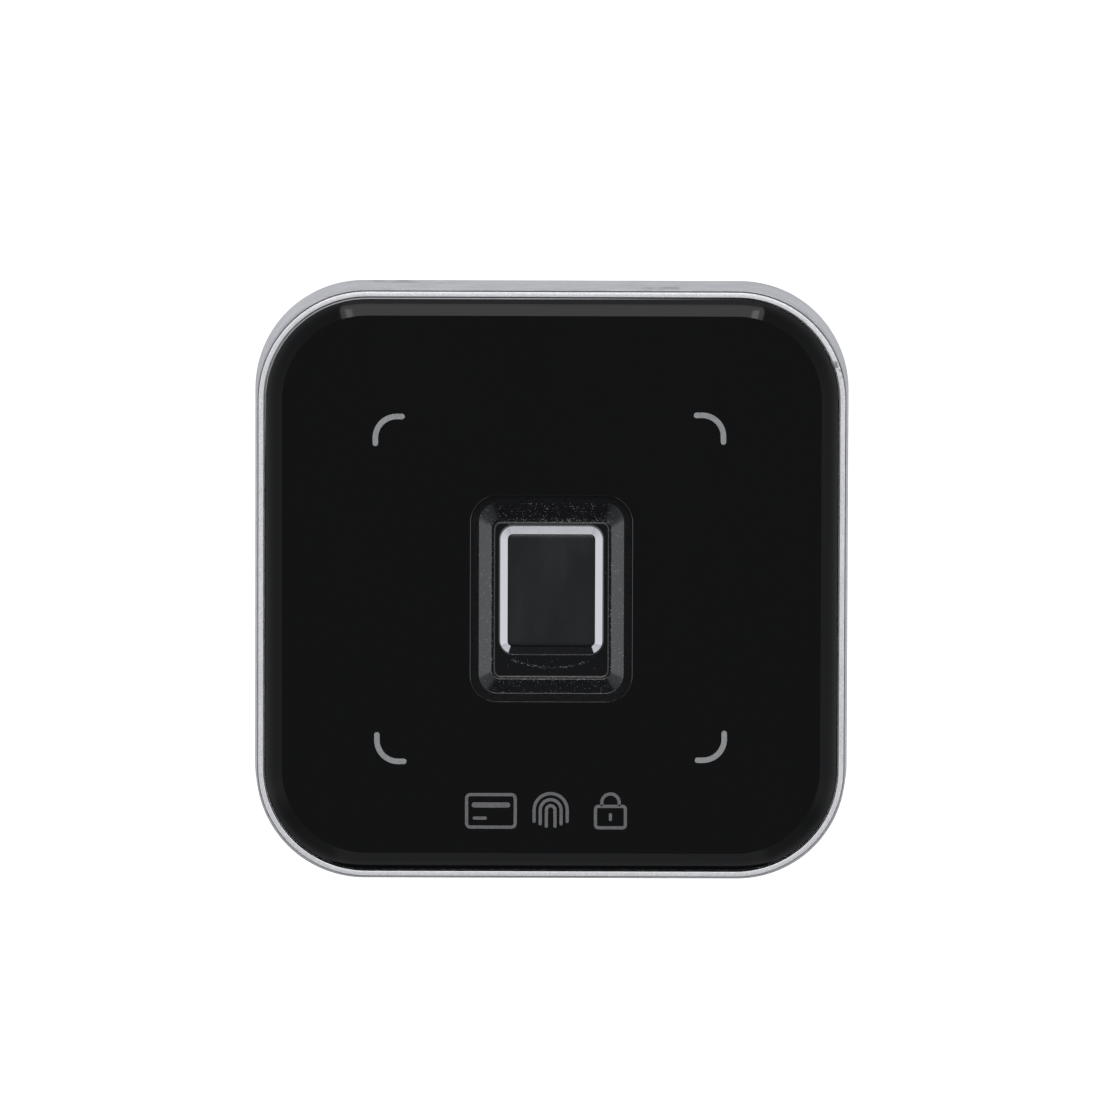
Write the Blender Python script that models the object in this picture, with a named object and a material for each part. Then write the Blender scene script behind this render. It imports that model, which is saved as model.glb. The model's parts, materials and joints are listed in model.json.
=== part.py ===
"""Wall-mounted fingerprint and card reader terminal on a standard 86 mm wall-box footprint.

Frame: +X to the viewer's right, +Z up, the front faces -Y. The origin is the centre of the
wall plane, which is the rear face of the wall plate. Depths are measured from that plane
towards the front, in millimetres, so a point at depth d lies at y = -d.
"""
import math

import bmesh
import bpy
from mathutils import Vector

MM = 0.001

# Outlines: half sizes and corner radii
REAR_HALF, REAR_RADIUS = 43.0, 15.75
LIP_HALF, LIP_RADIUS = 42.44, 15.6
RING_HALF, RING_RADIUS = 42.1, 15.55
RING_BAND = 0.675
GLASS_HALF, GLASS_RADIUS = 41.25, 14.7
BEVEL_WIDTH = 2.5
PLATE_HALF, PLATE_RADIUS = 38.0, 8.0
BOARD_HALF, BOARD_RADIUS = 37.5, 18.5

# Depths from the wall
RIM = 0.6
PLATE_FRONT = 1.2
BACK_REAR, BACK_FRONT = 5.4, 7.0
BOARD_REAR, BOARD_FRONT = 8.8, 10.0
SHELF = 12.7
RING_FRONT = 15.8
GLASS_REAR, GLASS_EDGE, GLASS_FRONT = 15.0, 15.72, 16.6
GAP = 0.3
EDGE = 0.1

# Finger guide and sensor: (half width, half height, corner radius, centre height)
GLASS_OPENING = (11.6, 14.9, 3.9, -2.0)
SENSOR_RING = (7.35, 9.2, 1.9, -0.95)
SENSOR_FACE = (6.3, 8.1, 0.75, -0.95)
SENSOR_FRONT = 14.0
POCKET = (8.18, 11.05, 0.9, -2.4)
GUIDE_REAR, GUIDE_FLOOR, GUIDE_RIM = 12.0, 13.4, 14.7

# Hinge of the hooks, tamper plunger and lock screw
HOOK_DEPTH, HOOK_HEIGHT, HOOK_X = 1.9, 41.0, 22.0
TRUNNION_RADIUS, SADDLE_RADIUS = 0.75, 1.05
TAMPER = (24.0, -22.0)
LOCK_DEPTH, LOCK_RADIUS = 3.2, 1.2

POST = 34.5
BOARD_SCREWS = (33.0, 14.0)
CABLE_WINDOW = (17.0, 12.0, 3.0, 17.0)
TERMINAL = (11.0, 4.5, 0.6, 17.0)
CORNER_STEPS = 10
SMALL_STEPS = 5


def material(name, colour, roughness, metallic=0.0):
    """A plain surface with the given linear colour."""
    made = bpy.data.materials.new(name)
    made.use_nodes = True
    shader = made.node_tree.nodes["Principled BSDF"]
    shader.inputs["Base Color"].default_value = (*colour, 1.0)
    shader.inputs["Roughness"].default_value = roughness
    shader.inputs["Metallic"].default_value = metallic
    return made


def point(x, depth, z):
    """A point given in millimetres, with its depth from the wall."""
    return Vector((x * MM, -depth * MM, z * MM))


def outline(half_x, half_z, radius, centre_z=0.0, steps=CORNER_STEPS):
    """A rounded rectangle as (x, z) pairs, anticlockwise seen from the front."""
    corners = []
    for quarter in range(4):
        side_x = 1 if quarter in (0, 3) else -1
        side_z = 1 if quarter in (0, 1) else -1
        for step in range(steps + 1):
            angle = math.radians(90 * (quarter + step / steps))
            x = side_x * (half_x - radius) + radius * math.cos(angle)
            z = side_z * (half_z - radius) + radius * math.sin(angle)
            corners.append((x, z + centre_z))
    return corners


def finish(name, mesh, look):
    """Close a bmesh into an object with its faces pointing out."""
    bmesh.ops.recalc_face_normals(mesh, faces=mesh.faces)
    data = bpy.data.meshes.new(name)
    mesh.to_mesh(data)
    mesh.free()
    made = bpy.data.objects.new(name, data)
    bpy.context.scene.collection.objects.link(made)
    if look is not None:
        data.materials.append(look)
    data.shade_smooth()
    data.set_sharp_from_angle(angle=math.radians(35))
    return made


def lofted(name, loops, look, ring=False):
    """Skin a list of loops of points. A ring joins its last loop to its first."""
    mesh = bmesh.new()
    rows = [[mesh.verts.new(place) for place in loop] for loop in loops]
    count = len(rows[0])
    pairs = list(zip(rows, rows[1:]))
    if ring:
        pairs.append((rows[-1], rows[0]))
    for first, second in pairs:
        for index in range(count):
            following = (index + 1) % count
            mesh.faces.new((first[index], first[following], second[following], second[index]))
    if not ring:
        mesh.faces.new(rows[0])
        mesh.faces.new(rows[-1])
    return finish(name, mesh, look)


def level(shape, depth, steps=SMALL_STEPS):
    """One loop of a rounded rectangle, (half x, half z, radius, centre), at a depth."""
    half_x, half_z, radius, centre_z = shape
    return [point(x, depth, z) for x, z in outline(half_x, half_z, radius, centre_z, steps)]


def square(half, radius, depth):
    """One loop of a rounded square centred on the frame, at a depth."""
    return level((half, half, radius, 0.0), depth, CORNER_STEPS)


def grown(shape, amount):
    """A rounded rectangle grown outwards by an even amount."""
    half_x, half_z, radius, centre_z = shape
    return (half_x + amount, half_z + amount, radius + amount, centre_z)


def slab(name, shape, rear, front, look, steps=4):
    """A flat piece with a rounded rectangular outline, between two depths."""
    return lofted(name, [level(shape, rear, steps), level(shape, front, steps)], look)


def block(name, x_range, depth_range, z_range, look, rounding=0.0):
    """A box between two corners, with softened edges where rounding is given."""
    mesh = bmesh.new()
    bmesh.ops.create_cube(mesh, size=1.0)
    low = point(x_range[0], depth_range[1], z_range[0])
    high = point(x_range[1], depth_range[0], z_range[1])
    size = high - low
    middle = (high + low) / 2
    for vertex in mesh.verts:
        vertex.co = Vector(a * b for a, b in zip(vertex.co, size)) + middle
    if rounding:
        bmesh.ops.bevel(mesh, geom=mesh.edges[:], offset=rounding * MM, segments=2,
                        affect="EDGES", profile=0.5)
    return finish(name, mesh, look)


def chip(name, x, z, width, height, tall, look):
    """A component body standing on the front of the main board."""
    rear = BOARD_FRONT + GAP
    return block(name, (x - width / 2, x + width / 2), (rear, rear + tall),
                 (z - height / 2, z + height / 2), look, rounding=0.15)


def turned(name, profile, look, x, z, steps=16):
    """A round solid about an axis along Y: the profile is a list of (radius, depth)."""
    loops = []
    for radius, depth in profile:
        turns = (2 * math.pi * step / steps for step in range(steps))
        loops.append([point(x + radius * math.cos(a), depth, z + radius * math.sin(a)) for a in turns])
    return lofted(name, loops, look)


def upright(name, profile, look, x, depth, steps=16):
    """A round solid about an axis along Z: the profile is a list of (radius, height)."""
    loops = []
    for radius, z in profile:
        turns = (2 * math.pi * step / steps for step in range(steps))
        loops.append([point(x + radius * math.cos(a), depth + radius * math.sin(a), z) for a in turns])
    return lofted(name, loops, look)


def crosswise(name, radius, x_range, depth, z, look, steps=16):
    """A round bar about an axis along X."""
    loops = []
    for x in x_range:
        turns = (2 * math.pi * step / steps for step in range(steps))
        loops.append([point(x, depth + radius * math.cos(a), z + radius * math.sin(a)) for a in turns])
    return lofted(name, loops, look)


def combine(target, helper, operation):
    """Cut a helper from a target, or join it on, and keep the helper out of the model."""
    helper.hide_render = True
    helper.display_type = "WIRE"
    helper.hide_set(True)
    change = target.modifiers.new(helper.name, "BOOLEAN")
    change.solver = "EXACT"
    change.operation = operation
    change.object = helper


def cut(target, *helpers):
    """Cut each helper from the target."""
    for helper in helpers:
        combine(target, helper, "DIFFERENCE")


def join(target, *helpers):
    """Join each helper on to the target."""
    for helper in helpers:
        combine(target, helper, "UNION")


def corners(half_x, half_z):
    """The four places at the same distance from both centre lines, with their names."""
    for row, side_z in (("upper", 1), ("lower", -1)):
        for column, side_x in (("left", -1), ("right", 1)):
            yield row + "_" + column, side_x * half_x, side_z * half_z


def make_wall_plate(look):
    """Steel plate: hook tabs above, lock tab below, cable window, screw slots."""
    shape = (PLATE_HALF, PLATE_HALF, PLATE_RADIUS, 0.0)
    plate = slab("wall_plate", shape, 0.0, PLATE_FRONT, look, steps=CORNER_STEPS)
    for side in (-1, 1):
        reach = (side * HOOK_X - 4.5, side * HOOK_X + 4.5)
        joggle = block("hook_joggle", reach, (0.6, HOOK_DEPTH + 0.35), (36.5, 38.4), None)
        neck = block("hook_neck", reach, (HOOK_DEPTH - 0.45, HOOK_DEPTH + 0.35),
                     (37.5, HOOK_HEIGHT - 0.3), None)
        bar = crosswise("hook_bar", TRUNNION_RADIUS, reach, HOOK_DEPTH, HOOK_HEIGHT, None)
        join(neck, bar)
        join(joggle, neck)
        join(plate, joggle)
    tab = block("lock_tab", (-5.0, 5.0), (0.6, BACK_REAR - 0.5), (-35.4, -34.2), None)
    join(plate, tab)
    cut(plate, block("tab_notch", (-5.4, 5.4), (-1.0, 2.0), (-39.0, -36.0), None))
    cut(plate, slab("cable_window", CABLE_WINDOW, -1.0, 2.0, None))
    for side in (-1, 1):
        slot = (2.3, 4.2, 2.29, 0.0)
        hole = slab("wall_screw_slot", slot, -1.0, 2.0, None)
        hole.location.x = side * 30.0 * MM
        cut(plate, hole)
    cut(plate, turned("plunger_hole", [(1.9, -1.0), (1.9, 2.0)], None, *TAMPER))
    lock = upright("lock_hole", [(LOCK_RADIUS + GAP, -36.0), (LOCK_RADIUS + GAP, -33.5)],
                   None, 0.0, LOCK_DEPTH)
    cut(plate, lock)
    return plate


def make_rear_housing(look):
    """Open tub: a skirt round the wall plate, a back wall and a tapered side wall."""
    inner = RING_HALF - 1.2
    inner_radius = RING_RADIUS - 1.2
    loops = [
        square(inner, inner_radius, BACK_FRONT),
        square(inner, inner_radius, SHELF),
        square(LIP_HALF - 0.22, LIP_RADIUS, SHELF),
        square(LIP_HALF - 0.22, LIP_RADIUS, RING_FRONT - 0.6),
        square(LIP_HALF - 0.12, LIP_RADIUS, RING_FRONT - 0.5),
        square(LIP_HALF, LIP_RADIUS, RING_FRONT - 0.65),
        square(REAR_HALF, REAR_RADIUS, RIM + 0.2),
        square(REAR_HALF - 0.2, REAR_RADIUS - 0.2, RIM),
        square(REAR_HALF - 1.7, REAR_RADIUS - 1.7, RIM),
        square(REAR_HALF - 1.8, REAR_RADIUS - 1.8, BACK_REAR),
    ]
    housing = lofted("rear_housing", loops, look)
    boss = block("lock_boss", (-4.5, 4.5), (0.9, BACK_REAR + 0.4), (-41.8, -36.4), None)
    join(housing, boss)
    for name, x, z in corners(*BOARD_SCREWS):
        profile = [(2.6, BACK_FRONT - 0.5), (2.6, BOARD_REAR - GAP)]
        join(housing, turned("standoff_" + name, profile, None, x, z))
        profile = [(1.2, BACK_FRONT - 0.8), (1.2, BOARD_REAR)]
        cut(housing, turned("pilot_" + name, profile, None, x, z))
    for name, x, z in corners(POST, POST):
        profile = [(1.4, BACK_REAR - 1.0), (1.4, BACK_FRONT + 1.0)]
        cut(housing, turned("case_hole_" + name, profile, None, x, z))
    cut(housing, slab("terminal_window", grown(TERMINAL, 0.8), 4.5, 8.0, None))
    guide = [(1.6, 4.0), (1.6, 6.2), (2.6, 6.2), (2.6, 8.0)]
    cut(housing, turned("plunger_guide", guide, None, *TAMPER))
    lock = upright("lock_bore", [(LOCK_RADIUS + GAP, -44.0), (LOCK_RADIUS + GAP, -35.0)],
                   None, 0.0, LOCK_DEPTH)
    cut(housing, lock)
    for side in (-1, 1):
        reach = (side * HOOK_X - 5.0, side * HOOK_X + 5.0)
        cut(housing, crosswise("hook_saddle", SADDLE_RADIUS, reach, HOOK_DEPTH, HOOK_HEIGHT, None))
    return housing


def make_front_bezel(look):
    """Trim ring round the glass, with the ledge and screw posts behind it."""
    outer = RING_HALF
    inner = RING_HALF - RING_BAND
    sections = [
        (outer - EDGE, RING_FRONT),
        (outer, RING_FRONT - EDGE),
        (outer, SHELF + 0.9),
        (outer - 1.5, SHELF + 0.9),
        (outer - 1.5, SHELF - 0.1),
        (outer - 5.1, SHELF - 0.1),
        (outer - 5.1, GLASS_REAR - 0.8),
        (inner, GLASS_REAR - 0.8),
        (inner, RING_FRONT - EDGE),
        (inner + EDGE, RING_FRONT),
    ]
    loops = [square(half, RING_RADIUS - (outer - half), depth) for half, depth in sections]
    bezel = lofted("front_bezel", loops, look, ring=True)
    for name, x, z in corners(POST, POST):
        join(bezel, turned("post_" + name, [(2.9, BACK_FRONT + GAP), (2.9, SHELF + 0.5)], None, x, z))
        cut(bezel, turned("post_pilot_" + name, [(1.35, 6.0), (1.35, 11.8)], None, x, z))
    return bezel


def make_glass(look):
    """Cover panel with a wide polished bevel and the opening for the finger guide."""
    flat = GLASS_HALF - BEVEL_WIDTH
    edge = GLASS_HALF - EDGE
    loops = [
        square(flat, GLASS_RADIUS - BEVEL_WIDTH, GLASS_FRONT),
        square(edge, GLASS_RADIUS - EDGE, GLASS_EDGE),
        square(GLASS_HALF, GLASS_RADIUS, GLASS_EDGE - 1.2 * EDGE),
        square(GLASS_HALF, GLASS_RADIUS, GLASS_REAR),
        level(GLASS_OPENING, GLASS_REAR, CORNER_STEPS),
        level(GLASS_OPENING, GLASS_FRONT - EDGE, CORNER_STEPS),
        level(grown(GLASS_OPENING, EDGE), GLASS_FRONT, CORNER_STEPS),
    ]
    return lofted("glass_panel", loops, look, ring=True)


def frame_piece(name, outer, inner, rear, front, look):
    """A flat frame between two square outlines, each (half, radius)."""
    loops = [square(*outer, rear), square(*outer, front), square(*inner, front), square(*inner, rear)]
    return lofted(name, loops, look, ring=True)


def make_finger_guide(look):
    """Moulded surround that leads a fingertip down to the sensor."""
    slope_top = (10.4, 13.7, 2.7, GLASS_OPENING[3])
    slope_foot = (8.85, 11.65, 1.4, -2.3)
    neck = grown(SENSOR_RING, 0.2)
    body = (12.3, 15.6, 4.4, GLASS_OPENING[3])
    flange = (14.0, 17.3, 6.0, GLASS_OPENING[3])
    loops = [
        level(body, GUIDE_REAR),
        level(body, GUIDE_FLOOR + 0.4),
        level(flange, GUIDE_FLOOR + 0.4),
        level(flange, GUIDE_RIM),
        level(grown(slope_top, 0.15), GUIDE_RIM),
        level(grown(slope_top, -0.1), GUIDE_RIM - 0.12),
        level(slope_foot, GUIDE_FLOOR + 0.05),
        level(grown(POCKET, 0.08), GUIDE_FLOOR),
        level(POCKET, GUIDE_FLOOR - 0.1),
        level(POCKET, GUIDE_FLOOR - 0.4),
        level(neck, GUIDE_FLOOR - 0.4),
        level(neck, GUIDE_REAR),
    ]
    return lofted("finger_guide", loops, look, ring=True)


def make_sensor_ring(look):
    """Plated ring whose bevel falls outwards from the sensor face."""
    loops = [
        level(grown(SENSOR_RING, 1.0), 11.0),
        level(grown(SENSOR_RING, 1.0), GUIDE_REAR - GAP),
        level(SENSOR_RING, GUIDE_REAR - GAP),
        level(SENSOR_RING, SENSOR_FRONT - 0.55),
        level(grown(SENSOR_RING, -0.07), SENSOR_FRONT - 0.45),
        level(grown(SENSOR_FACE, 0.07), SENSOR_FRONT),
        level(SENSOR_FACE, SENSOR_FRONT - 0.05),
        level(SENSOR_FACE, 11.0),
    ]
    return lofted("sensor_ring", loops, look, ring=True)


def make_sensor_window(look):
    """Coated capacitive sensor face."""
    shape = grown(SENSOR_FACE, -0.1)
    loops = [
        level(shape, 11.05),
        level(shape, SENSOR_FRONT - 0.16),
        level(grown(shape, -0.06), SENSOR_FRONT - 0.1),
    ]
    return lofted("sensor_window", loops, look)


def make_sensor_flex(look):
    """Flat flexible lead from the sensor board to its socket, bent in a low wave."""
    mesh = bmesh.new()
    rows = []
    steps = 8
    for step in range(steps + 1):
        part = step / steps
        z = -12.75 - part * 5.2
        depth = 10.45 + 0.45 * math.sin(math.pi * part)
        rows.append([mesh.verts.new(point(x, depth + side, z)) for x, side in
                     ((-4.0, 0.0), (4.0, 0.0), (4.0, 0.15), (-4.0, 0.15))])
    for first, second in zip(rows, rows[1:]):
        for index in range(4):
            following = (index + 1) % 4
            mesh.faces.new((first[index], first[following], second[following], second[index]))
    mesh.faces.new(rows[0])
    mesh.faces.new(rows[-1])
    return finish("sensor_flex", mesh, look)


def make_main_board(look):
    """Circuit board with rounded corners that clear the bezel's posts."""
    shape = (BOARD_HALF, BOARD_HALF, BOARD_RADIUS, 0.0)
    board = slab("main_board", shape, BOARD_REAR, BOARD_FRONT, look, steps=CORNER_STEPS)
    for name, x, z in corners(*BOARD_SCREWS):
        cut(board, turned("board_hole_" + name, [(1.3, 8.0), (1.3, 11.0)], None, x, z))
    cut(board, turned("board_plunger_hole", [(2.2, 8.0), (2.2, 11.0)], None, *TAMPER))
    return board


def recess(name, x, z, depth, reach):
    """A cross-shaped drive recess, as a cutter for a screw head that faces one way."""
    across = block(name, (x - 1.1, x + 1.1), (depth - 0.6, depth + reach), (z - 0.3, z + 0.3), None)
    along = block(name + "_arm", (x - 0.3, x + 0.3), (depth - 0.7, depth + reach - 0.01),
                  (z - 1.1, z + 1.1), None)
    join(across, along)
    return across


def make_screws(look):
    """Case screws driven from the rear, and board screws driven from the front."""
    made = []
    for name, x, z in corners(POST, POST):
        head = BACK_REAR - GAP
        profile = [(1.7, head - 1.4), (2.2, head - 1.1), (2.2, head), (1.05, head), (1.05, 11.0)]
        screw = turned("case_screw_" + name, profile, look, x, z, steps=16)
        cut(screw, recess("case_drive_" + name, x, z, head - 1.4, 0.7))
        made.append(screw)
    for name, x, z in corners(*BOARD_SCREWS):
        head = BOARD_FRONT + GAP
        profile = [(0.9, 6.5), (0.9, head), (1.9, head), (1.9, head + 0.8), (1.4, head + 1.1)]
        screw = turned("board_screw_" + name, profile, look, x, z, steps=16)
        cut(screw, recess("board_drive_" + name, x, z, head + 1.1, 0.5))
        made.append(screw)
    return made


def make_board_parts(looks):
    """Components on the front of the main board, and the terminal block behind it."""
    black = looks["component"]
    steel = looks["steel"]
    rear = BOARD_FRONT + GAP
    made = [
        chip("processor", -18.0, 8.0, 9.0, 9.0, 1.0, black),
        chip("flash_chip", -18.0, -6.0, 5.0, 6.0, 0.9, black),
        chip("card_reader_chip", -10.0, 24.0, 5.0, 5.0, 0.9, black),
        chip("line_driver", 18.0, 6.0, 5.0, 4.0, 1.5, black),
        chip("inductor", 26.0, 24.0, 6.0, 6.0, 2.8, black),
        chip("flex_connector", 0.0, -20.5, 12.0, 4.4, 1.5, looks["socket"]),
        chip("crystal", -26.0, 8.0, 3.2, 2.5, 0.8, steel),
        chip("status_led", 0.0, 20.0, 3.5, 2.8, 1.0, looks["lens"]),
    ]
    for name, z in (("capacitor_upper", 31.0), ("capacitor_lower", -31.0)):
        profile = [(3.1, rear), (3.1, rear + 0.8), (2.9, rear + 1.0), (2.9, rear + 3.1), (2.6, rear + 3.4)]
        made.append(turned(name, profile, steel, 12.0, z))
    profile = [(4.5, rear), (4.5, rear + 2.2), (4.2, rear + 2.5)]
    buzzer = turned("buzzer", profile, black, -22.0, 26.0, steps=28)
    cut(buzzer, turned("buzzer_port", [(0.8, rear + 1.5), (0.8, rear + 3.5)], None, -22.0, 26.0))
    pipe = [(2.0, rear + 1.3), (2.2, rear + 1.5), (2.2, GLASS_REAR - GAP)]
    made += [buzzer, turned("light_pipe", pipe, looks["lens"], 0.0, 20.0)]
    return made


def make_terminal_block(look):
    """Eight-way plug-in terminal block that faces the wall box."""
    front = BOARD_REAR - GAP
    body = slab("terminal_block", TERMINAL, 2.6, front, look, steps=3)
    ways = 8
    pitch = 2.54
    half_x, half_z, _, centre = TERMINAL
    for way in range(ways):
        x = (way - (ways - 1) / 2) * pitch
        name = "wire_entry_" + str(way + 1)
        entry = block(name, (x - 0.85, x + 0.85), (1.5, 6.2), (centre - 3.4, centre - 1.4), None)
        cut(body, entry)
        screw = turned("clamp_" + str(way + 1), [(0.9, 1.8), (0.9, 3.4)], None, x, centre + 1.8, steps=10)
        cut(body, screw)
    return body


def make_tamper(looks):
    """Tamper switch, the sprung plunger that reaches the wall, and its spring."""
    x, z = TAMPER
    collar = 7.7
    profile = [
        (1.1, 0.1), (1.3, 0.3), (1.3, collar), (2.2, collar), (2.2, collar + 0.5),
        (0.8, collar + 0.5), (0.8, BOARD_FRONT - 0.15), (0.65, BOARD_FRONT),
    ]
    plunger = turned("tamper_plunger", profile, looks["plunger"], x, z)
    switch = chip("tamper_switch", x, z, 6.2, 6.2, 1.7, looks["component"])
    spring = make_spring("tamper_spring", x, z, collar + 0.9, BOARD_FRONT, looks["steel"])
    return plunger, switch, spring


def make_spring(name, x, z, start, end, look):
    """A compression spring about an axis along Y, as one closed tube of wire."""
    turns, per_turn, sides = 3, 12, 5
    coil, wire = 1.4, 0.16
    mesh = bmesh.new()
    rows = []
    total = turns * per_turn
    rise = (end - start) / total
    for step in range(total + 1):
        angle = 2 * math.pi * step / per_turn
        row = []
        for side in range(sides):
            around = 2 * math.pi * side / sides
            radius = coil + wire * math.cos(around)
            depth = start + step * rise + wire * math.sin(around)
            row.append(mesh.verts.new(point(x + radius * math.cos(angle), depth,
                                            z + radius * math.sin(angle))))
        rows.append(row)
    for first, second in zip(rows, rows[1:]):
        for side in range(sides):
            following = (side + 1) % sides
            mesh.faces.new((first[side], first[following], second[following], second[side]))
    mesh.faces.new(rows[0])
    mesh.faces.new(rows[-1])
    return finish(name, mesh, look)


def make_lock_screw(look):
    """Headless lock screw, backed out, with a hexagon socket at its lower end."""
    profile = [
        (LOCK_RADIUS - 0.2, -42.3), (LOCK_RADIUS, -42.1),
        (LOCK_RADIUS, -37.0), (LOCK_RADIUS - 0.3, -36.7),
    ]
    screw = upright("lock_screw", profile, look, 0.0, LOCK_DEPTH)
    cut(screw, upright("lock_socket", [(0.7, -43.0), (0.7, -41.0)], None, 0.0, LOCK_DEPTH, steps=6))
    return screw


def hang(pieces, name, place, parent=None):
    """Parent the pieces to an empty that stands on their joint's axis."""
    axis = bpy.data.objects.new(name, None)
    bpy.context.scene.collection.objects.link(axis)
    axis.location = place
    if parent is not None:
        axis.parent = parent
        axis.location = place - parent.location
    for piece in pieces:
        piece.parent = axis
        piece.location -= place
    return axis


def make_looks():
    """The materials by name."""
    return {
        "silver": material("silver_paint", (0.55, 0.55, 0.57), 0.35, 0.6),
        "trim": material("bright_trim", (0.72, 0.72, 0.74), 0.25, 0.8),
        "glass": material("black_glass", (0.006, 0.006, 0.007), 0.06),
        "guide": material("black_moulding", (0.02, 0.021, 0.023), 0.4),
        "chrome": material("chrome", (0.8, 0.8, 0.82), 0.06, 1.0),
        "sensor": material("sensor_coating", (0.016, 0.017, 0.019), 0.35),
        "steel": material("zinc_steel", (0.5, 0.5, 0.51), 0.4, 1.0),
        "tape": material("foam_tape", (0.02, 0.02, 0.02), 0.9),
        "seal": material("rubber", (0.03, 0.03, 0.03), 0.8),
        "board": material("board_green", (0.02, 0.12, 0.05), 0.4),
        "flex": material("flex_amber", (0.45, 0.2, 0.03), 0.35),
        "component": material("component_black", (0.02, 0.02, 0.02), 0.5),
        "socket": material("socket_cream", (0.6, 0.56, 0.46), 0.5),
        "terminal": material("terminal_green", (0.03, 0.25, 0.1), 0.45),
        "lens": material("clear_lens", (0.8, 0.8, 0.8), 0.15),
        "plunger": material("plunger_white", (0.7, 0.7, 0.68), 0.45),
        "label": material("blank_label", (0.75, 0.75, 0.74), 0.5),
    }


def make_model():
    """Build every piece and hang it on the axis that it turns or slides about."""
    for old in list(bpy.data.objects):
        bpy.data.objects.remove(old, do_unlink=True)
    looks = make_looks()
    make_wall_plate(looks["steel"])
    plunger, switch, spring = make_tamper(looks)
    lock_screw = make_lock_screw(looks["steel"])
    reader = [
        make_rear_housing(looks["silver"]),
        make_front_bezel(looks["trim"]),
        make_glass(looks["glass"]),
        frame_piece("glass_tape", (40.6, 14.05), (37.6, 11.05), 14.45, 14.75, looks["tape"]),
        frame_piece("bezel_gasket", (42.0, 15.2), (41.1, 14.3), SHELF + 0.25, SHELF + 0.65,
                    looks["seal"]),
        make_finger_guide(looks["guide"]),
        make_sensor_ring(looks["chrome"]),
        make_sensor_window(looks["sensor"]),
        slab("sensor_board", (9.5, 11.5, 1.0, -0.95), 10.3, 10.75, looks["board"]),
        make_sensor_flex(looks["flex"]),
        frame_piece("card_antenna", (36.2, 9.0), (24.5, 3.0), 14.0, 14.5, looks["board"]),
        make_main_board(looks["board"]),
        make_terminal_block(looks["terminal"]),
        slab("rating_label", (15.0, 7.0, 1.0, -16.0), BACK_REAR - 0.45, BACK_REAR - GAP, looks["label"]),
        switch,
        spring,
    ]
    reader += make_screws(looks["steel"])
    reader += make_board_parts(looks)
    hinge = point(0.0, HOOK_DEPTH, HOOK_HEIGHT)
    swing = hang(reader, "reader_axis", hinge)
    hang([plunger], "tamper_axis", point(TAMPER[0], 0.1, TAMPER[1]), swing)
    hang([lock_screw], "lock_axis", point(0.0, LOCK_DEPTH, -42.3), swing)


make_model()
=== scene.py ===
"""Looks of the wall-mounted fingerprint terminal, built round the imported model.

Lengths in the tables below are millimetres. A depth is measured from the wall plane towards
the front, so a point at depth d lies at y = -d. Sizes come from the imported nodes' boxes, and
the named values add the edges and coatings that the plain solids don't have.
"""
import json
import math

import bmesh
import bpy
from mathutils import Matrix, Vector


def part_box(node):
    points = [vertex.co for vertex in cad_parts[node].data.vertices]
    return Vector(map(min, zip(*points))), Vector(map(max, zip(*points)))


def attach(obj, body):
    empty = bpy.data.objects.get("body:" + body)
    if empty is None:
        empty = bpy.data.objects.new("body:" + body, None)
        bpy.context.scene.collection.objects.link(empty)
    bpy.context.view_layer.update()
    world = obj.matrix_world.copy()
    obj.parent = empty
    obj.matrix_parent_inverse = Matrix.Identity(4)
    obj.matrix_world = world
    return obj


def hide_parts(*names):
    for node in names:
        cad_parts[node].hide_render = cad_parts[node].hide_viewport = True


MM = 0.001
READER = "reader"
BIG_STEPS = 28  # steps round a corner of the body, and of the sensor and its surround
SMALL_STEPS = 14

# Camera: its angle, distance in metres, lens, and its aim from the front ring's centre
VIEW_ELEVATION = math.radians(4.5)
VIEW_DISTANCE = 1.4997
LENS = 341.5
AIM_RIGHT, AIM_UP = -0.215, 5.0
VIEW_ROLL = math.radians(0.18)
SENSOR_WIDTH = 36.0
CLIP_START, CLIP_END = 0.1, 200.0

# Radiance of the surroundings
FRONT_LIGHT, RING_LIGHT, RIM_LIGHT, SIDE_LIGHT = 0.115, 0.8, 0.3, 1.95
BOUNCE_LIGHT, REAR_SHARE = 0.14, 0.6

# Soft panels: name, azimuth, elevation, distance, width, height, radiance
PANELS = (
    ("overhead_softbox", 0.0, 34.0, 1.2, 0.57, 0.3, 0.82),
    ("overhead_core", 0.0, 38.0, 1.18, 0.55, 0.06, 0.2),
    ("overhead_top", 0.0, 43.0, 1.2, 0.55, 0.1, 0.16),
    ("overhead_end_0", -12.3, 36.6, 1.15, 0.06, 0.018, 1.6),
    ("overhead_end_2", 12.3, 36.6, 1.15, 0.06, 0.018, 1.6),
    ("rear_softbox", -140.0, 58.0, 1.3, 0.97, 0.4, 1.8),
    ("key_softbox", 0.0, 19.5, 2.4, 1.2, 0.85, 6.5),
)
FLOOR_HEIGHT, FLOOR_SIZE = -0.45, 60.0

# Housing: depths from its rim, and the thickness of its wall
BACK_REAR, BACK_FRONT, SHELF = 4.8, 6.4, 12.1
HOUSING_WALL, HOUSING_INNER_RADIUS = 2.1, 14.35

# Outlines of the body, from the rear rim to the panel: half sizes, radii and insets
REAR_RADIUS = 15.75
LIP_INSET, LIP_RADIUS = 0.56, 15.6
RING_RADIUS, RING_BAND = 15.55, 0.69
GLASS_RADIUS = 14.7
BEVEL_WIDTH, BEVEL_FLAT = 2.5, 0.9
BEVEL_SLOPE, ROLL_SLOPE = math.radians(20.0), math.radians(26.0)
GROUND_EDGE, GROUND_SLOPE = 0.15, math.radians(59.0)
PANEL_CLEARANCE = 0.03

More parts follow.
